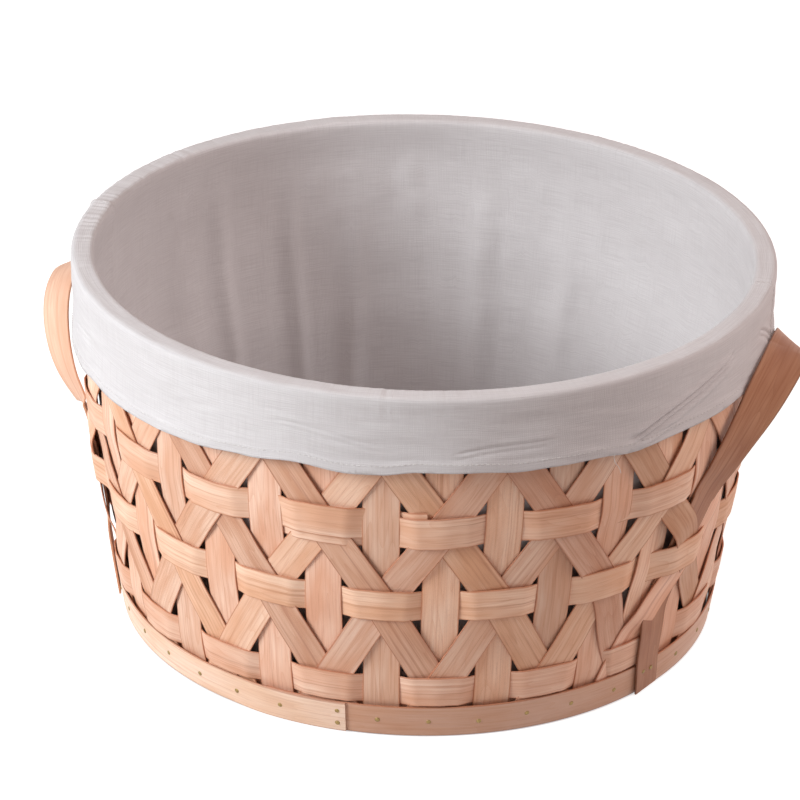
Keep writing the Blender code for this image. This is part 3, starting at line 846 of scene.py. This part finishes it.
# Soft folds of the bag: azimuth, lean, half width in degrees, depth, and the part of the height they fill
bagFolds = [(360 * i / 26 + chance(i, -7, 7), chance(i + 50, -9, 9), chance(i + 90, 1.5, 4.2),
             chance(i + 130, 0.001, 0.0052), chance(i + 170, 0.16, 0.62), chance(i + 210, 0.20, 0.50))
            for i in range(26)]


def hemHeight(azimuth):
    return track(liner["hemHeights"], turnBetween(azimuth, 0))


def ripple(x, y, seed):
    return noise.noise(Vector((x, y, seed)))


# How far the creases pulled into the cuff lift the cloth here
def creaseDepth(azimuth, height):
    depth = 0
    radius = liner["outside"]
    for (fromTurn, fromHeight), (toTurn, toHeight), most in liner["creases"]:
        lengthX = math.radians(toTurn - fromTurn) * radius
        lengthY = toHeight - fromHeight
        length = math.hypot(lengthX, lengthY)
        x = math.radians(turnBetween(azimuth, fromTurn)) * radius
        y = height - fromHeight
        along = (x * lengthX + y * lengthY) / length
        beside = (y * lengthX - x * lengthY) / length - 0.0012 * math.sin(along / length * 5)
        fade = ease(along / 0.012) * (1 - ease((along - length + 0.016) / 0.016))
        # two sharp lines with a swell above, between and below them
        for at, half, share in ((0.0024, 0.0015, 0.50), (0, 0.0008, -1.0), (-0.0018, 0.0012, 0.40),
                                (-0.0036, 0.0008, -0.60), (-0.0064, 0.0024, 0.55)):
            depth += most * fade * share * math.exp(-((beside - at) / half) ** 2)
    return depth


# A point of the cloth: share 0 to 1 runs up the inside, 1 to 2 over the roll and 2 to 3 down the cuff
def linerPoint(azimuth, share):
    turn = math.radians(azimuth)
    roundX, roundY = math.sin(turn), math.cos(turn)
    seam = sum(math.exp(-(turnBetween(azimuth, at) / 0.7) ** 2) for at in liner["seams"])
    pucker = sum(math.exp(-(turnBetween(azimuth, at) / 2.6) ** 2) for at in liner["seams"])
    if share <= 1:
        height = liner["bottom"] + (liner["top"] - liner["roll"] - liner["bottom"]) * share
        push, belly = weaveSwell(azimuth, height)
        radius = wallRadius(height) - track(liner["clear"], height) + push * liner["follow"] + belly
        beside = sum(math.exp(-(turnBetween(azimuth, at) / liner["hangTurn"]) ** 2) for at in liner["hangMiddles"])
        radius -= track(liner["hangIn"], height) * (1 - min(beside, 1))
        radius += (liner["rollInside"] - radius) * ease((share - 0.87) / 0.13)
        hang = ease(share / 0.10) * (1 - ease((share - 0.80) / 0.17))
        wave = ripple(roundX * 5, roundY * 5 + share * 0.8, 1.7)
        wave += 0.4 * ripple(roundX * 17, roundY * 17 + share * 2, 4.1)
        radius -= hang * liner["slack"] * (1 + 0.8 * wave)
        for at, lean, half, depth, centre, reach in bagFolds:
            across = turnBetween(azimuth, at + lean * (share - centre)) / half
            if abs(across) < 3.2:
                rise = math.exp(-((share - centre) / reach) ** 2)
                fold = math.exp(-across ** 2) - 0.2 * math.exp(-((across - 1.9) / 1.1) ** 2)
                radius -= depth * rise * hang * fold
        radius -= 0.0014 * max(0, ripple(roundX * 11, roundY * 11 + share * 22, 6.2)) * hang
        radius -= 0.0030 * (1 - ease(share / 0.045)) + seam * 0.0007
        return outward(azimuth) * radius + Vector((0, 0, height))
    gather = 0.00044 * ripple(roundX * 62, roundY * 62, 2.3) + 0.00026 * ripple(roundX * 130, roundY * 130, 8.8)
    gather *= 0.55 + 1.3 * abs(ripple(roundX * 9, roundY * 9, 7.1))
    side = 0.9 * math.exp(-(turnBetween(azimuth, -82) / 34) ** 2)
    zone = 0.26 + 0.6 * max(0, ripple(roundX * 1.7, roundY * 1.7, 3.3)) + side + 2.0 * pucker
    if share <= 2:
        bend = math.pi * (share - 1)
        middle = (liner["rollInside"] + liner["outside"]) / 2
        half = (liner["outside"] - liner["rollInside"]) / 2
        # a flat-topped roll: the cloth lies over two hoops
        across = -math.copysign(abs(math.cos(bend)) ** 0.55, math.cos(bend))
        up = math.sin(bend) ** 0.50
        radius = middle + half * across + gather * (1 - up) * zone + 0.0006 * seam * abs(across)
        height = liner["top"] - liner["roll"] + liner["roll"] * up + gather * 1.7 * up * zone + 0.0008 * seam * up
        height -= 0.0010 * up * (1 - abs(across)) * (0.5 + ripple(roundX * 8, roundY * 8, 2.9))
        return outward(azimuth) * radius + Vector((0, 0, height))
    down = share - 2
    topHeight = liner["top"] - liner["roll"]
    height = topHeight + (hemHeight(azimuth) - topHeight) * down
    wrinkle = 0.00060 * ripple(roundX * 5 + down * 1.2, roundY * 5 + down * 5.5, 5.5)
    wrinkle += 0.00030 * ripple(roundX * 12 - down * 1.5, roundY * 12 + down * 11, 7.7)
    flare = 0.0010 * down ** 2 * (0.5 + 1.4 * ripple(roundX * 7, roundY * 7, 9.1))
    tight = gather * zone * (1 - ease(down / 0.30)) * 1.2
    radius = liner["outside"] + wrinkle * ease(down / 0.15) + creaseDepth(azimuth, height) + flare + tight
    radius += 0.0006 * seam - 0.0005 * math.sin(math.pi * down)
    return outward(azimuth) * radius + Vector((0, 0, height))


# The cloth as a grid, with its flat place in metres on each corner
def linerSheet(name, shares, pointAt):
    shape = bmesh.new()
    flat = shape.loops.layers.uv.new("cloth")
    around = liner["around"]
    rows = [[shape.verts.new(pointAt(360 * i / around + 180, share)) for i in range(around)] for share in shares]
    down = [0.0]
    for j in range(1, len(shares)):
        down.append(down[-1] + (rows[j][0].co - rows[j - 1][0].co).length)
    for j in range(len(shares) - 1):
        for i in range(around):
            after = (i + 1) % around
            face = shape.faces.new((rows[j][i], rows[j][after], rows[j + 1][after], rows[j + 1][i]))
            for loop, (across, up) in zip(face.loops, ((i, j), (i + 1, j), (i + 1, j + 1), (i, j + 1))):
                loop[flat].uv = (1.32 * across / around, down[up])
    thing = shapeObject(name, shape, cotton)
    thing.data.shade_smooth()
    return thing


def thicken(thing):
    shell = thing.modifiers.new("Cloth", "SOLIDIFY")
    shell.thickness = liner["thickness"]
    shell.offset = 0


# Turns the live modifiers of a piece into its mesh
def settle(thing):
    view = bpy.context.evaluated_depsgraph_get()
    mesh = bpy.data.meshes.new_from_object(thing.evaluated_get(view))
    thing.modifiers.clear()
    thing.data = mesh


# A point of the cloth with its hem, which is folded double and so stands a little proud
def linerSurface(azimuth, share):
    point = linerPoint(azimuth, share)
    if share > 2:
        level = (point.z - hemHeight(azimuth)) / liner["hem"]
        point += outward(azimuth) * 0.00045 * (1 - ease((level - 0.9) / 0.35))
    return point


shares = [part + i / cells for part, cells in enumerate(liner["rows"]) for i in range(cells)] + [3]
linerSide = linerSheet("linerSide", shares, linerSurface)
thicken(linerSide)
thinner = linerSide.modifiers.new("Thinner", "DECIMATE")
thinner.ratio = liner["triangles"] / (4 * len(linerSide.data.polygons))
settle(linerSide)
linerSide.data.shade_smooth()
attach(linerSide, "liner")
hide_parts("liner_wall_front", "liner_wall_back", "liner_cuff_front", "liner_cuff_back")
print("liner side:", len(linerSide.data.polygons), "faces")


bagFloor = {"rings": 26, "around": 180, "radius": 0.1778, "height": 0.0072, "middle": 0.0074,
            "ripple": 0.0010, "fineRipple": 0.0006}


# The bag's round floor, soft ripples, lying on the board
def floorCloth():
    shape = bmesh.new()
    flat = shape.loops.layers.uv.new("cloth")
    rings, around = bagFloor["rings"], bagFloor["around"]
    middle = shape.verts.new((0, 0, bagFloor["middle"]))
    rows = []
    for j in range(1, rings + 1):
        radius = bagFloor["radius"] * j / rings
        ring = []
        for i in range(around):
            place = outward(360 * i / around) * radius
            wave = bagFloor["ripple"] * (ripple(place.x * 22, place.y * 22, 3.9) + 0.35)
            wave += bagFloor["fineRipple"] * ripple(place.x * 60, place.y * 60, 1.1)
            fade = 1 - ease((j - rings + 3) / 3)
            ring.append(shape.verts.new((place.x, place.y, bagFloor["height"] + max(wave, 0) * fade)))
        rows.append(ring)
    for i in range(around):
        shape.faces.new((middle, rows[0][i], rows[0][(i + 1) % around]))
    for j in range(rings - 1):
        for i in range(around):
            shape.faces.new((rows[j][i], rows[j + 1][i], rows[j + 1][(i + 1) % around], rows[j][(i + 1) % around]))
    for face in shape.faces:
        for loop in face.loops:
            loop[flat].uv = (loop.vert.co.x, loop.vert.co.y)
    bmesh.ops.recalc_face_normals(shape, faces=shape.faces)
    thing = shapeObject("linerFloor", shape, cotton)
    thing.data.shade_smooth()
    thicken(thing)
    settle(thing)
    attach(thing, "liner")
    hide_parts("liner_floor")
    return thing


linerFloor = floorCloth()


# Stitches along the hem and beside the seams
stitches = {"spacing": 0.0032, "length": 0.0025, "radius": 0.00019, "hemShare": 0.86,
            "seamTurn": 0.55, "seamSteps": 89, "seamReach": 1.7}     # degrees beside a seam, and how far it is sewn


def cuffOutward(azimuth, share):
    ahead = linerSurface(azimuth + 0.2, share) - linerSurface(azimuth - 0.2, share)
    up = linerSurface(azimuth, share - 0.01) - linerSurface(azimuth, share + 0.01)
    return ahead.cross(up).normalized()


hemPath = []
for i in range(1441):
    azimuth = 360 * i / 1440
    share = 3 - liner["hem"] / (liner["top"] - liner["roll"] - hemHeight(azimuth)) * stitches["hemShare"]
    face = cuffOutward(azimuth, share)
    hemPath.append((linerSurface(azimuth, share) + face * (liner["thickness"] / 2 + 0.00012), face))
seamPaths = []
rollMiddle = (liner["rollInside"] + liner["outside"]) / 2
for k, at in enumerate(liner["seams"]):
    for side in (-stitches["seamTurn"], stitches["seamTurn"]):
        path = []
        for i in range(stitches["seamSteps"] + 1):
            point = linerSurface(at + side, 1 + stitches["seamReach"] * i / stitches["seamSteps"])
            middle = outward(at + side) * rollMiddle + Vector((0, 0, min(point.z, liner["top"] - liner["roll"])))
            face = (point - middle).normalized()
            path.append((point + face * (liner["thickness"] / 2 + 0.0001), face))
        seamPaths.append((k + 1, path))
hemStitches = grow(pathObject("hemStitches", [(0, hemPath)] + seamPaths), stitchNodes, {
    "Spacing": stitches["spacing"], "Length": stitches["length"], "Radius": stitches["radius"], "Seed": 6,
    "Material": thread})
hemStitches.data.shade_smooth()
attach(hemStitches, "liner")

# A thread end that has come loose from the hem: millimetres along, out and down from where it starts
looseEnd = {"azimuth": 46.9, "radius": 0.00016, "places": (
    (0, 0, 0), (-0.9, 0.8, 1.6), (-0.7, 1.3, 3.6), (0.4, 1.6, 5.6), (1.9, 1.7, 7.6), (3.0, 1.9, 9.8),
    (3.4, 2.2, 11.8))}
start, out = linerSurface(looseEnd["azimuth"], 2.98), outward(looseEnd["azimuth"])
aside = outward(looseEnd["azimuth"] + 90)
path = [(start + out * 0.0006 + aside * x * 0.001 + Vector((0, 0, -z * 0.001)) + out * y * 0.001, out)
        for x, y, z in looseEnd["places"]]
looseThread = grow(pathObject("looseThread", [(0, path)]), threadNodes, {
    "Radius": looseEnd["radius"], "Material": thread})
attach(looseThread, "liner")
# Camera, lamps, world and floor
view = {"azimuth": 15.9, "elevation": 26.47, "roll": 1.32, "focal": 3728, "distance": 10.83 * 0.215, "aim": 0.1185,
        "centre": (420.4, 417.4), "picture": 800}
lights = {
    # azimuth, elevation, distance, size, power and colour
    "key": (-47, 27, 2.0, 0.9, 35.0, (0.955, 1.005, 1.035)),
    "fill": (104, 38, 2.2, 1.6, 21.5, (1.0, 0.85, 0.81)),
    "world": 0.30, "worldColour": (1.0, 0.84, 0.81, 1.0), "floorGlow": 0.80,
    "glowFrom": 0.1845, "glowTo": 0.1875,       # the floor glows for the eye only outside the basket's foot
}


# The way from the basket to a camera or lamp
def towards(azimuth, elevation):
    tilt = math.radians(elevation)
    return outward(azimuth) * math.cos(tilt) + Vector((0, 0, math.sin(tilt)))


def addCamera():
    roll = math.radians(view["roll"])
    back = towards(view["azimuth"], view["elevation"])
    right = outward(view["azimuth"] + 90)
    up = right.cross(-back)
    camRight = right * math.cos(roll) + up * math.sin(roll)
    camUp = -right * math.sin(roll) + up * math.cos(roll)
    place = Vector((0, 0, view["aim"])) + back * view["distance"]
    data = bpy.data.cameras.new("camera")
    camera = newObject("camera", data)
    camera.matrix_world = Matrix([[camRight[i], camUp[i], back[i], place[i]] for i in range(3)] + [[0, 0, 0, 1]])
    data.sensor_width = 36
    data.lens = view["focal"] * 36 / view["picture"]
    data.shift_x = 0.5 - view["centre"][0] / view["picture"]
    data.shift_y = view["centre"][1] / view["picture"] - 0.5
    data.clip_end = 50
    bpy.context.scene.camera = camera


def addLamp(name):
    azimuth, elevation, distance, size, power, colour = lights[name]
    away = towards(azimuth, elevation)
    data = bpy.data.lights.new(name, "AREA")
    data.shape = "DISK"
    data.size = size
    data.energy = power
    data.color = colour
    lamp = newObject(name, data)
    lamp.location = Vector((0, 0, 0.12)) + away * distance
    lamp.rotation_euler = away.to_track_quat("Z", "Y").to_euler()
    return lamp


# 1 where the eye looks straight at it, also in a reflection or through glass
def seenDirectly(tree):
    rays = addNode(tree, "ShaderNodeLightPath").outputs
    either = addNode(tree, "ShaderNodeMath", {0: rays["Is Camera Ray"], 1: rays["Is Glossy Ray"]}, operation="MAXIMUM")
    return addNode(tree, "ShaderNodeMath", {0: either, 1: rays["Is Transmission Ray"]}, operation="MAXIMUM")


addCamera()
addLamp("key")
addLamp("fill").visible_glossy = False      # it only lifts the shade

world = bpy.data.worlds.new("studio")
bpy.context.scene.world = world
world.use_nodes = True
tree = world.node_tree
seen = seenDirectly(tree)
setInputs(tree, tree.nodes["Background"], {
    "Color": layTones(tree, lights["worldColour"], [(seen, 0.0, 1.0, 0.0, 1.0, (1.0, 1.0, 1.0, 1.0))]),
    "Strength": addNode(tree, "ShaderNodeMapRange", {"Value": seen, "To Min": lights["world"], "To Max": 1.0})})

material, tree, shader = newMaterial("Studio floor, pale")
place = addNode(tree, "ShaderNodeTexCoord").outputs["Object"]
away = addNode(tree, "ShaderNodeVectorMath", {0: place}, operation="LENGTH").outputs["Value"]
outside = addNode(tree, "ShaderNodeMapRange", {
    "Value": away, "From Min": lights["glowFrom"], "From Max": lights["glowTo"]})
bare = addNode(tree, "ShaderNodeMath", {0: seenDirectly(tree), 1: outside}, operation="MULTIPLY")
setInputs(tree, shader, {
    "Base Color": hexColour("#C4C2C1"), "Roughness": 0.9, "Specular IOR Level": 0.1, "Emission Color": (1, 1, 1, 1),
    "Emission Strength": addNode(tree, "ShaderNodeMapRange", {"Value": bare, "To Max": lights["floorGlow"]})})
floorShape = bmesh.new()
bmesh.ops.create_grid(floorShape, x_segments=1, y_segments=1, size=6)
floor = shapeObject("floor", floorShape, material)
floor.location.z = -0.0002
bpy.context.scene.view_settings.view_transform = "Standard"
print("camera, light and floor set")
